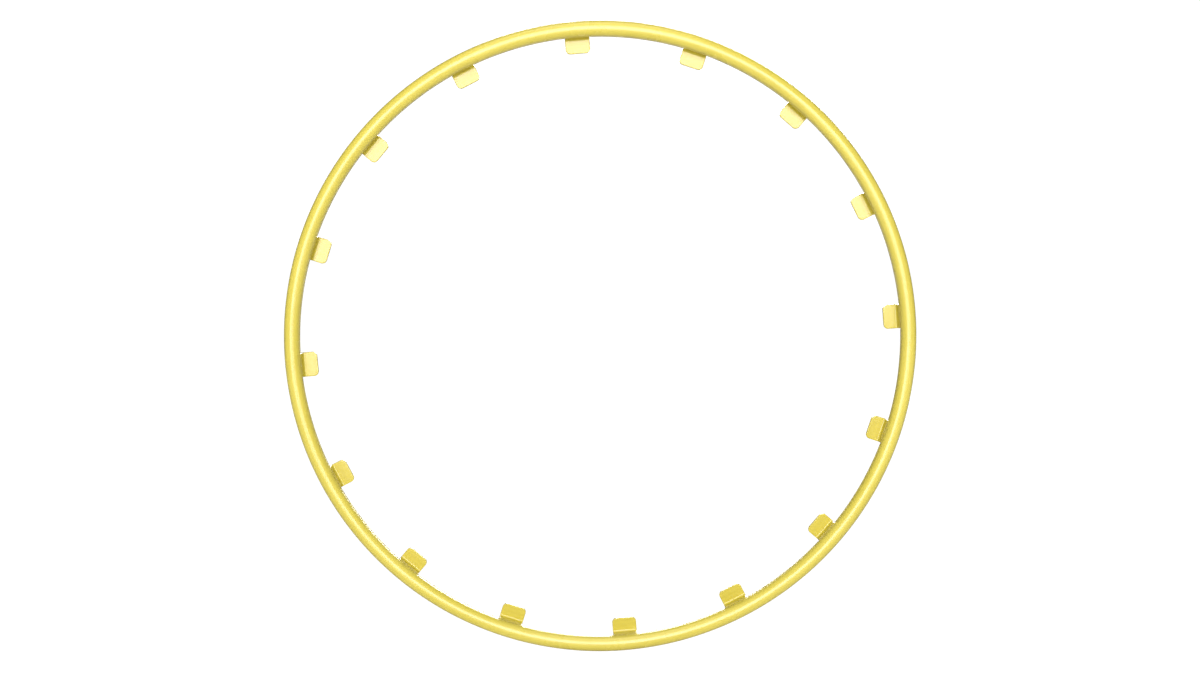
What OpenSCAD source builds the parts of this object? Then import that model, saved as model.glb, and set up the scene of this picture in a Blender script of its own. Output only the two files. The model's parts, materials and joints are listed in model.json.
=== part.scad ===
// Rim protector ring: one slender moulded hoop with a half-round front, and a row of hooked
// tabs that snap into sockets in its flat back and grip the edge of a wheel's rim from behind.
// The ring stands upright as on a wheel. Its axis is Y, its front faces -Y, the wheel is on the
// +Y side, and the origin is the centre of the hoop's flat back. Units are millimetres and degrees.

/* [Hoop] */
// Diameter of the hoop's straight inner wall, which fits round the rim's edge
hoop_bore = 472; // [380:1:600]
// Width of the hoop's band, from the inner wall to the outer wall
hoop_width = 12; // [10:0.5:18]
// Height of the straight walls, from the flat back to the start of the half-round front
hoop_wall = 3; // [2.5:0.1:6]
// Radius of the two edges round the flat back
back_edge = 0.4; // [0.2:0.1:1]

/* [Tabs] */
// Number of tabs round the hoop
tab_count = 16; // [8:1:40]
// Angle of the first tab, from +X towards +Z
tab_phase = 4.6; // [0:0.1:45]
// Width of each tab, along the hoop
tab_width = 19.2; // [12:0.1:30]
// Thickness of each tab's foot
tab_thickness = 2.2; // [1.6:0.1:3]
// Distance from the hoop's back to the root of the foot, which the rim's edge fills
rim_gap = 7; // [4.5:0.1:14]
// How far the foot reaches in from the hoop's inner wall
foot_reach = 11.2; // [9:0.1:20]
// Lean of the foot's tip towards the front
foot_lean = 0; // [0:1:12]
// Lean of the neck towards the middle of the ring
neck_lean = 4; // [0:1:12]
// Inner radius of the bend between neck and foot
bend_radius = 1.5; // [0.8:0.1:2]
// Radius of the two corners at the foot's tip
tip_corner = 3.5; // [1:0.1:5]
// Radius of the edges across the foot's tip
tip_edge = 0.7; // [0.3:0.1:0.8]

/* [Snap roots] */
// Diameter of the round bead at each tab's root
bead_diameter = 3.6; // [3.2:0.1:5]
// Radial clearance of the bead in its socket
bead_fit = 0.05; // [0.02:0.01:0.1]
// Thickness of the hoop between a socket and the inner wall
socket_wall = 1.15; // [1:0.05:2]
// Thickness of the shank between the bead and the neck
shank_thickness = 1.6; // [1.2:0.1:1.8]
// Depth of the lips that hold the bead, from the notch's floor to the bead's axis
lip_depth = 2; // [1.6:0.1:2.5]
// Depth of the notch in the hoop's back that the neck stands in
notch_depth = 1.2; // [1:0.1:1.6]
// Gap between the neck's heel and the notch's floor
heel_gap = 0.6; // [0.5:0.1:0.9]
// Distance from the hoop's inner wall out to the neck's inner face, at the heel
neck_inset = 0.3; // [0.1:0.1:0.6]
// Gap at each end of a tab in its socket
side_gap = 0.3; // [0.2:0.1:0.8]
// Least gap between a moving tab and the edges of its notch and mouth
swing_gap = 0.3; // [0.2:0.1:0.8]
// How far a tab flexes out and back as it passes over the rim
swing_out = 12; // [5:1:15]
// How far a tab flexes in and forward
swing_in = 3; // [1:1:6]

/* [Hidden] */
$fn = 96;
nylon_hoop = [0.93, 0.80, 0.34];
nylon_tab = [0.90, 0.76, 0.28];
// Cuts run this far past the faces that they open
past = 1;

bore_r = hoop_bore / 2;
outer_r = bore_r + hoop_width;
crown_r = hoop_width / 2;

pitch = 360 / tab_count;

bead_r = bead_diameter / 2;
socket_r = bead_r + bead_fit;
socket_length = tab_width + 2 * side_gap;
bead_x = bore_r + socket_wall + socket_r;
bead_z = notch_depth + lip_depth;
mouth_in = shank_thickness / 2 + lip_depth * sin(swing_in) + swing_gap;
mouth_out = shank_thickness / 2 + lip_depth * sin(swing_out) + swing_gap;
notch_x = bead_x + shank_thickness / 2 + bead_z * sin(swing_out) + swing_gap;

// Corners of a tab's profile, as [distance from the ring's axis, height in front of the hoop's back]
heel_z = notch_depth - heel_gap;
heel_in = [bore_r + neck_inset, heel_z];
heel_out = [bead_x + shank_thickness / 2, heel_z];
bend_in = [heel_in.x - (heel_z + rim_gap) * tan(neck_lean), -rim_gap];
tip_x = bore_r - foot_reach;
tip_front = [tip_x, bend_in.y + (bend_in.x - tip_x) * tan(foot_lean)];
neck_normal = [cos(neck_lean), -sin(neck_lean)];
foot_normal = [-sin(foot_lean), -cos(foot_lean)];
bend_out = bend_in
    + tab_thickness * (neck_normal + foot_normal) / (1 + neck_normal * foot_normal);
tip_back = [tip_x, tip_front.y - tab_thickness / cos(foot_lean)];

// Steps in each rounded corner of a tab's profile
corner_steps = 8;

function unit(v) = v / norm(v);
function turned(v, angle) =
    [v.x * cos(angle) - v.y * sin(angle), v.x * sin(angle) + v.y * cos(angle)];
// Points of the arc of radius r that rounds the corner p, whose edges run to a and b
function rounded(p, a, b, r) =
    let (
        to_a = unit(a - p),
        to_b = unit(b - p),
        half = acos(to_a * to_b) / 2,
        centre = p + unit(to_a + to_b) * r / sin(half),
        start = p + to_a * r / tan(half) - centre,
        sweep = (180 - 2 * half) * sign(cross(to_b, to_a))
    )
    [for (k = [0:corner_steps]) centre + turned(start, sweep * k / corner_steps)];

function two_digits(n) = n < 10 ? str("0", n) : str(n);
function tab_name(n) = str("tab_", two_digits(n));
function tab_angle(n) = tab_phase + (n - 1) * pitch;

// Turns the working frame, whose axis is Z with the front up, so that the ring stands upright
module upright() {
    rotate([90, 0, 0]) children();
}

// Half-round front on two straight walls, with eased edges round the flat back
module hoop_profile() {
    translate([bore_r, back_edge]) square([hoop_width, hoop_wall - back_edge]);
    translate([bore_r + back_edge, 0]) square([hoop_width - 2 * back_edge, 2 * back_edge]);
    for (x = [bore_r + back_edge, outer_r - back_edge])
        translate([x, back_edge]) circle(back_edge);
    intersection() {
        translate([bore_r + crown_r, hoop_wall]) circle(crown_r);
        translate([bore_r, hoop_wall]) square([hoop_width, crown_r]);
    }
}

// Everything that one tab's root needs cut from the hoop: round socket, mouth and notch
module root_cut() {
    translate([bead_x, 0, bead_z])
        rotate([90, 0, 0]) cylinder(h = socket_length, r = socket_r, center = true);
    translate([bead_x - mouth_in, -socket_length / 2, 0])
        cube([mouth_in + mouth_out, socket_length, bead_z]);
    translate([bore_r - past, -socket_length / 2, -past])
        cube([notch_x - bore_r + past, socket_length, notch_depth + past]);
}

module hoop() {
    color(nylon_hoop) upright() difference() {
        rotate_extrude($fn = 360) hoop_profile();
        for (n = [1:tab_count]) rotate([0, 0, tab_angle(n)]) root_cut();
    }
}

// Neck and foot seen from the side, with a filleted bend and a rounded tip
module hook_profile() {
    polygon(concat(
        [heel_in],
        rounded(bend_in, heel_in, tip_front, bend_radius),
        rounded(tip_front, bend_in, tip_back, tip_edge),
        rounded(tip_back, tip_front, bend_out, tip_edge),
        rounded(bend_out, tip_back, heel_out, bend_radius + tab_thickness),
        [heel_out]
    ));
}

// Outline of a tab seen from the front, with two rounded corners at the foot's tip
module tab_outline() {
    length = notch_x - tip_x;
    translate([tip_x + tip_corner, -tab_width / 2]) square([length - tip_corner, tab_width]);
    translate([tip_x, -tab_width / 2 + tip_corner]) square([length, tab_width - 2 * tip_corner]);
    for (side = [-1, 1])
        translate([tip_x + tip_corner, side * (tab_width / 2 - tip_corner)]) circle(tip_corner);
}

module tab(n) {
    foot_depth = rim_gap + 2 * tab_thickness;
    color(nylon_tab) upright() rotate([0, 0, tab_angle(n)]) {
        intersection() {
            rotate([90, 0, 0]) linear_extrude(tab_width + past, center = true) hook_profile();
            translate([0, 0, -foot_depth])
                linear_extrude(foot_depth + notch_depth) tab_outline();
        }
        translate([bead_x - shank_thickness / 2, -tab_width / 2, heel_z])
            cube([shank_thickness, tab_width, bead_z - heel_z]);
        translate([bead_x, 0, bead_z])
            rotate([90, 0, 0]) cylinder(h = tab_width, r = bead_r, center = true);
    }
}

hoop();
for (n = [1:tab_count]) tab(n);
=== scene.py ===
import json
import math
import bpy  # noqa: E402
import numpy as np  # noqa: E402
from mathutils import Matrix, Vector  # noqa: E402


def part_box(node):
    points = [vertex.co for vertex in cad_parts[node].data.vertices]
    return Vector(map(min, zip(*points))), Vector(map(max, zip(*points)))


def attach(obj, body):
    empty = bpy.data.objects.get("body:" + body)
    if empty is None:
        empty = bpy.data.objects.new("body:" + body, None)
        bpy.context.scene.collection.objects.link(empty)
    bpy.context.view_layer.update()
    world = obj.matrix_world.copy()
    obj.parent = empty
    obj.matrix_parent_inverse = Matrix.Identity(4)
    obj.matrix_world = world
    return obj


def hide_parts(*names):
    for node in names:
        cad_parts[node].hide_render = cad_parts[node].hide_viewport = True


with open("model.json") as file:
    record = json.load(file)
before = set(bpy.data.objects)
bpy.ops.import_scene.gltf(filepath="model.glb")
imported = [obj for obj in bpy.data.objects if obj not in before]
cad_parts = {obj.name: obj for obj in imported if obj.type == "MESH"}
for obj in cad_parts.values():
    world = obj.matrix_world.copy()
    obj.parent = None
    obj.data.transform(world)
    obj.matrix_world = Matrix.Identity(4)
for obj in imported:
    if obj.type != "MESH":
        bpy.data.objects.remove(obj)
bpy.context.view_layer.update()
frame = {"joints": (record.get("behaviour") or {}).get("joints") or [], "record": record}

# ---------------------------------------------------------------------------------------------
# Camera. It stands in front of the ring, a little above its axis and a little to the left, and
# far enough back that the hoop looks round. Its aim is just off the ring's centre.
# ---------------------------------------------------------------------------------------------
camera_distance = 1.05
camera_azimuth = math.radians(-1.25)
camera_elevation = math.radians(4.4)
camera_lens_mm = 40.04
camera_aim = Vector((-0.0013, 0.0, 0.0028))

camera_data = bpy.data.cameras.new("studio_camera")
camera_data.lens = camera_lens_mm
camera_data.sensor_width = 36.0
camera = bpy.data.objects.new("studio_camera", camera_data)
to_camera = Vector((
    math.sin(camera_azimuth) * math.cos(camera_elevation),
    -math.cos(camera_azimuth) * math.cos(camera_elevation),
    math.sin(camera_elevation),
))
camera.location = camera_aim + to_camera * camera_distance
camera.rotation_euler = to_camera.to_track_quat("Z", "Y").to_euler()
bpy.context.scene.collection.objects.link(camera)
bpy.context.scene.camera = camera
bpy.context.scene.view_settings.view_transform = "Standard"

# ---------------------------------------------------------------------------------------------
# Studio. A pale floor runs into an evenly white surround. Two large softboxes stand side by side
# in front and reflect in the feet, a third hangs above them, and one behind lights the back.
# ---------------------------------------------------------------------------------------------
floor_half = 30.0
floor_grey = 0.45
floor_glow = 0.92
surround_white = 1.12
surround_light = 0.12
top_light = 0.8
top_light_spread = math.radians(40)
softboxes = {
    # name: (azimuth, elevation, distance, width, height, radiance), each aimed at the centre
    "left_softbox": (-12.5, 6.0, 1.85, 0.80, 0.95, 10.0),
    "right_softbox": (12.5, 9.0, 1.85, 0.80, 0.80, 9.5),
    "upper_softbox": (-2.0, 32.0, 1.9, 1.00, 0.60, 7.0),
    "back_softbox": (172.0, 20.0, 2.2, 1.3, 1.0, 17.0),
}


class Wire:
    """A socket's output, which takes part in sums with numbers and with other wires."""

    def __init__(self, finish, socket):
        self.finish = finish
        self.socket = socket

    def _math(self, operation, first, second):
        return self.finish.make("ShaderNodeMath", {"operation": operation}, {0: first, 1: second})

    def __add__(self, other):
        return self._math("ADD", self, other)

    __radd__ = __add__

    def __mul__(self, other):
        return self._math("MULTIPLY", self, other)

    __rmul__ = __mul__

    def __pow__(self, other):
        return self._math("POWER", self, other)


class Finish:
    """The nodes of a material or of the surround."""

    def __init__(self, owner):
        owner.use_nodes = True
        self.owner = owner
        self.tree = owner.node_tree

    def give(self, node, inputs):
        """Sets a node's inputs, by name or number: a wire is linked, anything else is a value."""
        for key, value in inputs.items():
            if isinstance(value, Wire):
                self.tree.links.new(value.socket, node.inputs[key])
            else:
                node.inputs[key].default_value = value

    def make(self, kind, settings=None, inputs=None, output=0):
        """Adds a node, its settings first and then its inputs, and returns one of its outputs."""
        node = self.tree.nodes.new(kind)
        for key, value in (settings or {}).items():
            setattr(node, key, value)
        self.give(node, inputs or {})
        return Wire(self, node.outputs[output])


white = (1.0, 1.0, 1.0, 1.0)
floor_finish = Finish(bpy.data.materials.new("pale_floor"))
floor_shader = floor_finish.tree.nodes["Principled BSDF"]
floor_finish.give(floor_shader, {
    "Base Color": (floor_grey, floor_grey, floor_grey, 1.0),
    "Roughness": 0.9,
    "Specular IOR Level": 0.1,
})
seen = floor_finish.make("ShaderNodeLightPath")
shaded = Wire(floor_finish, floor_shader.outputs[0])
glow = floor_finish.make("ShaderNodeEmission", {}, {"Color": white, "Strength": surround_white})
lit_floor = floor_finish.make(
    "ShaderNodeMixShader", {}, {0: seen * floor_glow, 1: shaded, 2: glow})
floor_finish.give(floor_finish.tree.nodes["Material Output"], {"Surface": lit_floor})

floor_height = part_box("hoop")[0][2]
floor_mesh = bpy.data.meshes.new("studio_floor")
floor_mesh.from_pydata(
    [(a * floor_half, b * floor_half, floor_height) for a, b in ((-1, -1), (1, -1), (1, 1), (-1, 1))],
    [], [(0, 1, 2, 3)])
floor_mesh.materials.append(floor_finish.owner)
floor = bpy.data.objects.new("studio_floor", floor_mesh)
bpy.context.scene.collection.objects.link(floor)

surround = Finish(bpy.data.worlds.new("white_surround"))
seen = surround.make("ShaderNodeLightPath")
as_light = surround.make("ShaderNodeBackground", {}, {"Color": white, "Strength": surround_light})
as_seen = surround.make("ShaderNodeBackground", {}, {"Color": white, "Strength": surround_white})
either = surround.make("ShaderNodeMixShader", {}, {0: seen, 1: as_light, 2: as_seen})
surround.give(surround.tree.nodes["World Output"], {"Surface": either})
bpy.context.scene.world = surround.owner


def toward(azimuth, elevation):
    """The unit vector at an azimuth from the front and an elevation, both in degrees."""
    a, e = math.radians(azimuth), math.radians(elevation)
    return Vector((math.sin(a) * math.cos(e), -math.cos(a) * math.cos(e), math.sin(e)))


for name, (azimuth, elevation, distance, width, height, radiance) in softboxes.items():
    light_data = bpy.data.lights.new(name, "AREA")
    light_data.shape = "RECTANGLE"
    light_data.size = width
    light_data.size_y = height
    light_data.energy = radiance * math.pi * width * height
    light = bpy.data.objects.new(name, light_data)
    light.location = toward(azimuth, elevation) * distance
    light.rotation_euler = light.location.to_track_quat("Z", "Y").to_euler()
    light.visible_camera = False
    bpy.context.scene.collection.objects.link(light)

overhead_data = bpy.data.lights.new("overhead_light", "SUN")
overhead_data.energy = top_light
overhead_data.angle = top_light_spread
overhead = bpy.data.objects.new("overhead_light", overhead_data)
overhead.rotation_euler = toward(-10.0, 75.0).to_track_quat("Z", "Y").to_euler()
bpy.context.scene.collection.objects.link(overhead)

# ---------------------------------------------------------------------------------------------
# Hoop. One closed ring moulded in golden nylon: a half-round front on two short straight walls
# and a flat back. The back has sixteen notches, each with a mouth and a round socket for a tab's
# bead, and round witness marks where pins pushed the hoop out of its mould.
# ---------------------------------------------------------------------------------------------
mm = 0.001
mounts = {mount["name"]: mount for mount in frame["record"]["mounts"]}
joints = {joint["child"]: joint for joint in frame["joints"]}
tab_names = sorted(joints)

bore = mounts["hoop_bore"]["dims"]["r_mm"] * mm
hoop_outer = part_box("hoop")[1][0]
hoop_depth = -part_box("hoop")[0][1]
crown = (hoop_outer - bore) / 2
wall = hoop_depth - crown
back_edge = 0.4 * mm
parting_ridge = 0.05 * mm
parting_width = 0.22 * mm

first_bead = joints[tab_names[0]]["pos_m"]
bead_out = math.hypot(first_bead[0], first_bead[2])
bead_back = first_bead[1]
bead_radius = 1.8 * mm
socket_radius = bead_radius + 0.05 * mm
shank = 1.6 * mm
tab_width = 19.2 * mm
side_gap = 0.3 * mm
swing_gap = 0.3 * mm
notch_depth = 1.2 * mm
swing_in, swing_out = (math.radians(abs(limit)) for limit in joints[tab_names[0]]["range_deg"])
lip_depth = -bead_back - notch_depth
mouth_in = bead_out - shank / 2 - lip_depth * math.sin(swing_in) - swing_gap
mouth_out = bead_out + shank / 2 + lip_depth * math.sin(swing_out) + swing_gap
notch_out = bead_out + shank / 2 - bead_back * math.sin(swing_out) + swing_gap
notch_length = tab_width + 2 * side_gap
pitch = math.tau / len(tab_names)
tab_angles = np.array([
    math.atan2(joints[name]["pos_m"][2], joints[name]["pos_m"][0]) for name in tab_names
])

notch_sections = 9
bay_sections = 17
crown_steps = 40
socket_steps = 28


def arc(centre, radius, start, stop, steps):
    """Points at centre + radius * (cos a, sin a), as a runs evenly from start to stop, in degrees."""
    a = np.radians(np.linspace(start, stop, steps + 1))
    return np.stack([centre[0] + radius * np.cos(a), centre[1] + radius * np.sin(a)], axis=1)


def strip_faces(index):
    """Quads between neighbouring rows and columns of a grid of vertex numbers."""
    a, b = index[:-1, :-1], index[:-1, 1:]
    c, d = index[1:, 1:], index[1:, :-1]
    return np.stack([a, b, c, d], axis=-1).reshape(-1, 4)


def build_mesh(name, vertices, quads, outlines=(), sharp_angle=32.0):
    """A mesh from vertices, quads and a few many-sided faces, smooth but for its sharp edges."""
    corner_lists = [quads.ravel()] + [np.asarray(outline) for outline in outlines]
    sizes = np.concatenate([np.full(len(quads), 4), [len(outline) for outline in outlines]])
    sizes = sizes.astype(int)
    starts = np.concatenate([[0], np.cumsum(sizes)[:-1]]).astype(np.int32)
    corners = np.concatenate(corner_lists).astype(np.int32)
    mesh = bpy.data.meshes.new(name)
    mesh.vertices.add(len(vertices))
    mesh.vertices.foreach_set("co", np.asarray(vertices, np.float32).ravel())
    mesh.loops.add(len(corners))
    mesh.loops.foreach_set("vertex_index", corners)
    mesh.polygons.add(len(sizes))
    mesh.polygons.foreach_set("loop_start", starts)
    mesh.polygons.foreach_set("use_smooth", np.ones(len(sizes), bool))
    mesh.update(calc_edges=True)
    mesh.validate()
    mesh.set_sharp_from_angle(angle=math.radians(sharp_angle))
    return mesh


def place(radius, angle, back):
    """Radius and angle about the ring's axis, and distance towards the back, as points in the frame."""
    radius, angle, back = np.broadcast_arrays(radius, angle, back)
    return np.stack([radius * np.cos(angle), back, radius * np.sin(angle)], axis=-1).reshape(-1, 3)


def ridge(radius, sign):
    """Three points of the fine parting ridge, where the straight wall meets the half-round front."""
    return np.array([
        (radius, -wall + parting_width / 2),
        (radius + sign * parting_ridge, -wall),
        (radius, -wall - parting_width / 2),
    ])


# Section of the hoop as (radius, distance towards the back). The outside runs from the notch's
# outer edge, over the outer wall and the half-round front, to the inner wall at the notch's floor.
middle = bore + crown
ridge_turn = math.degrees(parting_width / 2 / crown)
outside = np.concatenate([
    [(notch_out, 0.0), ((notch_out + hoop_outer) / 2, 0.0)],
    arc((hoop_outer - back_edge, -back_edge), back_edge, 90, 0, 5),
    ridge(hoop_outer, 1)[:2],
    arc((middle, -wall), crown, -ridge_turn, -180 + ridge_turn, crown_steps),
    ridge(bore, -1)[1::-1],
    [(bore, -notch_depth)],
])
# Between tabs the section closes round the inner edge of the flat back.
plain = np.concatenate([
    arc((bore + back_edge, -back_edge), back_edge, 180, 90, 5),
    [((bore + notch_out) / 2, 0.0)],
])
# At a tab it closes over the notch's floor and round the socket, in the tab's own straight frame.
lip_in = math.degrees(math.asin((bead_out - mouth_in) / socket_radius))
lip_out = math.degrees(math.asin((mouth_out - bead_out) / socket_radius))
notched = np.concatenate([
    [(mouth_in, -notch_depth)],
    arc((bead_out, bead_back), socket_radius, 90 + lip_in, 450 - lip_out, socket_steps),
    [(mouth_out, -notch_depth), (notch_out, -notch_depth)],
])


def hoop_vertices_and_faces():
    """The hoop as three grids swept round the axis.

    Rows in a notch lie in planes at offset t from the tab's middle, so a round surface of radius r
    has its point at angle asin(t / r), and a straight one at depth x has it at atan(t / x). Rows
    between two notches run evenly from one notch's end to the next one's. Each notch ends in two
    flat many-sided walls.
    """
    t = np.linspace(-notch_length / 2, notch_length / 2, notch_sections)[:, None]
    r = outside[None, :, 0]
    straight = np.zeros(len(outside), bool)
    straight[0] = True
    angle = np.where(straight, np.arctan2(t, r), np.arcsin(t / r))
    radius = np.where(straight, np.hypot(t, r), r + 0 * t)
    step = np.linspace(0, 1, bay_sections)[1:-1, None]
    bay_angle = angle[-1] + step * (pitch + angle[0] - angle[-1])
    out_angle = np.concatenate([angle, bay_angle])
    out_radius = np.concatenate([radius, np.repeat(radius[-1:], bay_sections - 2, axis=0)])

    notch_radius = np.hypot(t, notched[None, :, 0])
    notch_angle = np.arctan2(t, notched[None, :, 0])

    end = np.arcsin(notch_length / 2 / plain[:, 0])
    step = np.linspace(0, 1, bay_sections)[:, None]
    plain_angle = end + step * (pitch - 2 * end)

    turn = tab_angles[:, None, None]
    vertices = np.concatenate([
        place(out_radius[None], out_angle[None] + turn, outside[None, None, :, 1]),
        place(notch_radius[None], notch_angle[None] + turn, notched[None, None, :, 1]),
        place(plain[None, None, :, 0], plain_angle[None] + turn, plain[None, None, :, 1]),
    ])

    count = len(tab_angles)
    rows = len(out_angle)
    out_index = np.arange(count * rows * len(outside)).reshape(count * rows, len(outside))
    start = out_index.size
    notch_index = start + np.arange(count * notch_sections * len(notched))
    notch_index = notch_index.reshape(count, notch_sections, len(notched))
    start += notch_index.size
    plain_index = start + np.arange(count * bay_sections * len(plain))
    plain_index = plain_index.reshape(count, bay_sections, len(plain))

    ring = np.concatenate([out_index, out_index[:1]])
    quads = [strip_faces(ring)]
    walls = []
    for n in range(count):
        notch_rows = ring[n * rows:n * rows + notch_sections]
        bay_rows = ring[n * rows + notch_sections - 1:n * rows + rows + 1]
        notch = np.column_stack([notch_rows[:, -1], notch_index[n], notch_rows[:, 0]])
        bay = np.column_stack([bay_rows[:, -1], plain_index[n], bay_rows[:, 0]])
        before = np.concatenate([[notch[0, 0]], plain_index[n - 1, -1], [notch[0, -1]]])
        quads += [strip_faces(notch), strip_faces(bay)]
        walls += [
            np.concatenate([notch[-1], bay[0, -2:0:-1]]),
            np.concatenate([before, notch[0, -2:0:-1]]),
        ]
    return vertices, np.concatenate(quads), walls


mark_radius = 2.0 * mm
mark_height = 0.12 * mm
mark_dish = 0.6 * mark_height
mark_sink = 0.3 * mm
mark_sides = 28
marks_per_bay = 3
mark_from_axis = (notch_out + hoop_outer) / 2


def witness_marks(start):
    """Low round pads on the flat back, left by the ejector pins.

    Each is a profile turned about its own centre: out along the dished top, over a raised rim, and
    down below the hoop's surface. They stand evenly between each two notches.
    """
    profile = np.array([
        (0.0, mark_dish),
        (0.75 * mark_radius, mark_dish),
        (0.85 * mark_radius, mark_height),
        (0.96 * mark_radius, mark_height),
        (mark_radius, mark_dish),
        (mark_radius, -mark_sink),
        (0.0, -mark_sink),
    ])
    around = np.linspace(0, math.tau, mark_sides, endpoint=False)
    share = np.arange(1, marks_per_bay + 1) / (marks_per_bay + 1)
    centre = (tab_angles[:, None] + share * pitch).ravel()
    across = mark_from_axis + profile[None, 1:-1, 0, None] * np.cos(around)
    along = profile[None, 1:-1, 0, None] * np.sin(around)
    turn = centre[:, None, None]
    x = across * np.cos(turn) - along * np.sin(turn)
    z = across * np.sin(turn) + along * np.cos(turn)
    y = np.broadcast_to(profile[None, 1:-1, 1, None], x.shape)
    rims = np.stack([x, y, z], axis=-1).reshape(len(centre), -1, 3)
    poles = np.stack([
        place(mark_from_axis, centre, profile[0, 1]),
        place(mark_from_axis, centre, profile[-1, 1]),
    ], axis=1)
    vertices = np.concatenate([rims, poles], axis=1).reshape(-1, 3)
    per_mark = rims.shape[1] + 2
    rings = len(profile) - 2
    index = np.arange(rings * mark_sides).reshape(rings, mark_sides)
    index = np.column_stack([index, index[:, 0]])
    sides = strip_faces(index)
    top = np.stack([index[0, :-1], index[0, 1:], np.full(mark_sides, per_mark - 2)], axis=1)
    foot = np.stack([index[-1, 1:], index[-1, :-1], np.full(mark_sides, per_mark - 1)], axis=1)
    offsets = start + per_mark * np.arange(len(centre))
    quads = (sides[None] + offsets[:, None, None]).reshape(-1, 4)
    fans = (np.concatenate([top, foot])[None] + offsets[:, None, None]).reshape(-1, 3)
    return vertices, quads, fans


hoop_vertices, hoop_quads, hoop_walls = hoop_vertices_and_faces()
mark_vertices, mark_quads, mark_fans = witness_marks(len(hoop_vertices))
hoop_mesh = build_mesh(
    "hoop_moulding",
    np.concatenate([hoop_vertices, mark_vertices]),
    np.concatenate([hoop_quads, mark_quads]),
    [*hoop_walls, *mark_fans],
)


slow_streak = 6.0
quick_streak = 420.0
cloud_scale = 22.0
speck_scale = 900.0
grain_scale = 1500.0
rubbing_scale = 70.0
rubbing_dulls = 0.14
grain_depth = 0.06 * mm
nylon_ior = 1.53


def nylon(name, deep, pale, gloss):
    """Satin golden nylon: pigment that flowed along the mould, a fine even grain, and faint rubbing.

    Streaks come from noise that changes slowly along the hoop and quickly across it: its fourth
    dimension is the distance from the ring's axis, the square root of x squared plus z squared. The
    tone mixes streaks, clouds and specks. The grain, of under a millimetre, bumps the surface.
    """
    finish = Finish(bpy.data.materials.new(name))
    here = finish.make("ShaderNodeTexCoord", output=3)
    x, y, z = (finish.make("ShaderNodeSeparateXYZ", {}, {0: here}, output=axis) for axis in range(3))
    radius = (x * x + z * z) ** 0.5
    along = finish.make(
        "ShaderNodeCombineXYZ", {}, {0: x * slow_streak, 1: y * quick_streak, 2: z * slow_streak})
    streaks = finish.make(
        "ShaderNodeTexNoise", {"noise_dimensions": "4D"},
        {"Vector": along, "W": radius * quick_streak, "Scale": 1.0, "Detail": 1.0, "Roughness": 0.5})

    def noise(scale, detail, fine):
        """Noise of a given scale; fine is how much each finer layer counts."""
        settings = {"Vector": here, "Scale": scale, "Detail": detail, "Roughness": fine}
        return finish.make("ShaderNodeTexNoise", {}, settings)

    clouds = noise(cloud_scale, 3.0, 0.5)
    specks = noise(speck_scale, 2.0, 0.6)
    grain = noise(grain_scale, 2.0, 0.6)
    rubbed = noise(rubbing_scale, 2.0, 0.5)
    tone = streaks * 0.45 + clouds * 0.35 + specks * 0.2
    spread = finish.make("ShaderNodeMapRange", {}, {0: tone, 1: 0.35, 2: 0.65, 3: 0.0, 4: 1.0})
    colour = finish.make(
        "ShaderNodeMix", {"data_type": "RGBA"}, {0: spread, 6: (*deep, 1.0), 7: (*pale, 1.0)}, output=2)
    height = grain * 0.7 + specks * 0.3 + streaks * 0.5
    bump = finish.make(
        "ShaderNodeBump", {}, {"Height": height, "Strength": 0.08, "Distance": grain_depth})
    finish.give(finish.tree.nodes["Principled BSDF"], {
        "Base Color": colour, "Roughness": gloss + rubbing_dulls * rubbed, "Normal": bump,
        "IOR": nylon_ior,
    })
    return finish.owner


hoop_mesh.materials.append(nylon(
    "golden_hoop_nylon", deep=(0.49, 0.405, 0.056), pale=(0.555, 0.46, 0.08), gloss=0.21))
hoop = bpy.data.objects.new("hoop_moulding", hoop_mesh)
bpy.context.scene.collection.objects.link(hoop)
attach(hoop, "hoop")
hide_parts("hoop")

# ---------------------------------------------------------------------------------------------
# Tabs. Sixteen equal hooks moulded in the same nylon, its colour set a little darker than the
# hoop's as painted shade on the feet. Each is a flat strip bent into a neck and a foot, with every
# edge eased and two rounded corners at its tip, and ends in a thin shank and a round bead, which
# snaps into the hoop's socket.
strip = 2.2 * mm
rim_gap = 7.0 * mm
foot_reach = 11.2 * mm
foot_lean = math.radians(0)
neck_lean = math.radians(4)
bend_radius = 1.5 * mm
tip_corner = 3.5 * mm
edge_easing = 0.5 * mm
root_easing = 0.3 * mm
neck_inset = 0.3 * mm
heel = -0.6 * mm

neck_steps = 6
bend_steps = 14
foot_steps = 9
edge_steps = 5
corner_steps = 12
flat_steps = 8
bead_steps = 30


def unit(v):
    return v / np.linalg.norm(v)


def rounded(p, a, b, radius, steps):
    """Points of the arc that rounds the corner p, from its edge towards a to its edge towards b.

    The centre lies on the line that halves the corner, at radius / sin(half the corner's angle).
    """
    to_a, to_b = unit(a - p), unit(b - p)
    half = math.acos(float(to_a @ to_b)) / 2
    centre = p + unit(to_a + to_b) * radius / math.sin(half)
    start = p + to_a * radius / math.tan(half) - centre
    sweep = (math.pi - 2 * half) * np.sign(to_b[0] * to_a[1] - to_b[1] * to_a[0])
    a = sweep * np.linspace(0, 1, steps + 1)
    across, up = start
    turned = [across * np.cos(a) - up * np.sin(a), across * np.sin(a) + up * np.cos(a)]
    return centre + np.stack(turned, axis=1)


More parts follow.
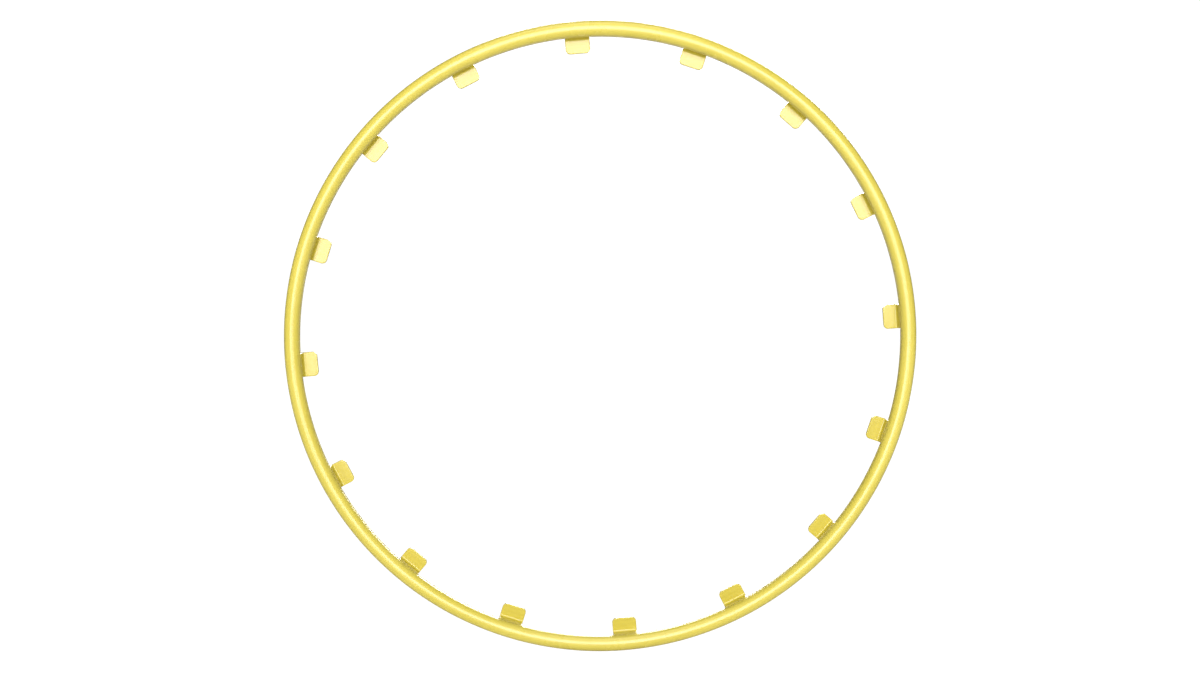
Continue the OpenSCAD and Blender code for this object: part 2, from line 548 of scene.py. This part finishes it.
# Corners of the hook as (distance from the ring's axis, distance towards the back)
heel_in = np.array([bore + neck_inset, heel])
heel_out = np.array([bead_out + shank / 2, heel])
bend_in = np.array([heel_in[0] - (rim_gap - heel) * math.tan(neck_lean), rim_gap])
tip_x = bore - foot_reach
tip_front = np.array([tip_x, rim_gap - (bend_in[0] - tip_x) * math.tan(foot_lean)])
tip_back = tip_front + np.array([0.0, strip / math.cos(foot_lean)])
neck_normal = np.array([math.cos(neck_lean), math.sin(neck_lean)])
foot_normal = np.array([-math.sin(foot_lean), math.cos(foot_lean)])
bend_out = bend_in + strip * (neck_normal + foot_normal) / (1 + neck_normal @ foot_normal)


def ease(distance, radius):
    """How far a face sinks at a distance from its edge, if a quarter circle of that radius eases the edge."""
    short = np.clip(radius - distance, 0.0, radius)
    return radius - np.sqrt(radius ** 2 - short ** 2)


def tab_vertices_and_faces():
    """One tab in its own frame, as (distance from the ring's axis, offset along the hoop, distance back).

    Rows cross the tab at offsets w, spaced as the tip's rounded corner needs. A row's path runs down
    the front of the neck and foot, back up their rear, and round the shank and the bead. The strip's
    two faces are its middle surface plus and minus half its thickness, and sink near the outline by a
    quarter circle. Where a row ends in a rounded corner, its foot is shorter by
    R - sqrt(R^2 - k^2), with k the offset past the corner's centre.
    """
    half = tab_width / 2
    psi = np.linspace(0, math.pi / 2, corner_steps + 1)
    side = half - tip_corner * (1 - np.cos(psi))
    flat = np.linspace(-side[-1], side[-1], flat_steps + 1)[1:-1]
    w = np.concatenate([-side, flat, side[::-1]])[:, None]
    past = np.clip(np.abs(w) - (half - tip_corner), 0.0, tip_corner)
    shorter = tip_corner - np.sqrt(tip_corner ** 2 - past ** 2)

    front_bend = rounded(bend_in, heel_in, tip_front, bend_radius, bend_steps)
    back_bend = rounded(bend_out, heel_out, tip_back, bend_radius + strip, bend_steps)
    down = np.linspace(0, 1, neck_steps + 1)[:-1, None]
    front = np.concatenate([heel_in + down * (front_bend[0] - heel_in), front_bend])
    back = np.concatenate([heel_out + down * (back_bend[0] - heel_out), back_bend])
    rows, bends = len(w), len(front)
    front = np.broadcast_to(front, (rows, bends, 2))
    back = np.broadcast_to(back, (rows, bends, 2))

    foot_way = unit(tip_front - front_bend[-1])
    gamma = np.linspace(math.pi / 2, 0, edge_steps + 1)
    last = edge_easing * (1 - np.cos(gamma))
    length = np.linalg.norm(tip_front - front_bend[-1])
    end = (length - shorter)[:, :, None]
    share = np.linspace(0, 1, foot_steps + 1)[None, 1:, None]
    reach = np.concatenate([share * (end - edge_easing), end - last[None, 1:, None]], axis=1)
    foot_front = tip_front + foot_way * (reach - length)
    pull = (back_bend[-1] - front_bend[-1]) - (tip_back - tip_front)
    foot_back = foot_front + (tip_back - tip_front) + pull * (1 - reach / length)
    front = np.concatenate([front, foot_front], axis=1)
    back = np.concatenate([back, foot_back], axis=1)

    to_tip = np.full((rows, front.shape[1]), tab_width)
    to_tip[:, bends:] = (length - reach)[..., 0]
    to_side = half - np.abs(w)
    along = np.clip(tip_corner - to_tip, 0.0, None)
    in_corner = (past > 0) & (along > 0)
    edge = np.where(in_corner, tip_corner - np.hypot(past, along), np.minimum(to_side, to_tip))
    edge = np.clip(edge, 0.0, None)
    centre = (front + back) / 2
    out = (front - back) / 2
    thick = np.linalg.norm(out, axis=2)
    keep = (1 - ease(edge, edge_easing) / thick)[..., None]
    front, back = centre + out * keep, centre - out * keep

    sunk = ease(to_side, root_easing)
    half_shank = shank / 2 - sunk
    small = bead_radius - sunk
    lift = np.arcsin(half_shank / small)
    turn = math.pi / 2 - lift - np.linspace(0, 1, bead_steps + 1) * (math.tau - 2 * lift)
    bead = np.stack([bead_out + small * np.cos(turn), bead_back + small * np.sin(turn)], axis=2)
    step = np.stack([bead_out - half_shank, np.full_like(half_shank, heel)], axis=2)
    path = np.concatenate([front, back[:, ::-1], bead, step], axis=1)
    offset = np.broadcast_to(w, path.shape[:2])
    vertices = np.stack([path[..., 0], offset, path[..., 1]], axis=2).reshape(-1, 3)
    index = np.arange(path.shape[0] * path.shape[1]).reshape(path.shape[:2])
    closed = np.column_stack([index, index[:, 0]])
    return vertices, strip_faces(closed), [index[0][::-1], index[-1]]


# The same nylon as the hoop, but its deep and pale colours are darker: painted shade on the feet.
tab_nylon_painted_shade = nylon(
    "golden_tab_nylon_painted_shade", deep=(0.43, 0.345, 0.031), pale=(0.49, 0.40, 0.045), gloss=0.16)
tab_local, tab_quads, tab_sides = tab_vertices_and_faces()
for name, angle in zip(tab_names, tab_angles):
    x, along, back = tab_local.T
    turned = np.stack([
        x * math.cos(angle) - along * math.sin(angle),
        back,
        x * math.sin(angle) + along * math.cos(angle),
    ], axis=1)
    tab_mesh = build_mesh(f"{name}_hook", turned, tab_quads, tab_sides)
    tab_mesh.materials.append(tab_nylon_painted_shade)
    tab = bpy.data.objects.new(f"{name}_hook", tab_mesh)
    bpy.context.scene.collection.objects.link(tab)
    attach(tab, name)
    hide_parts(name)
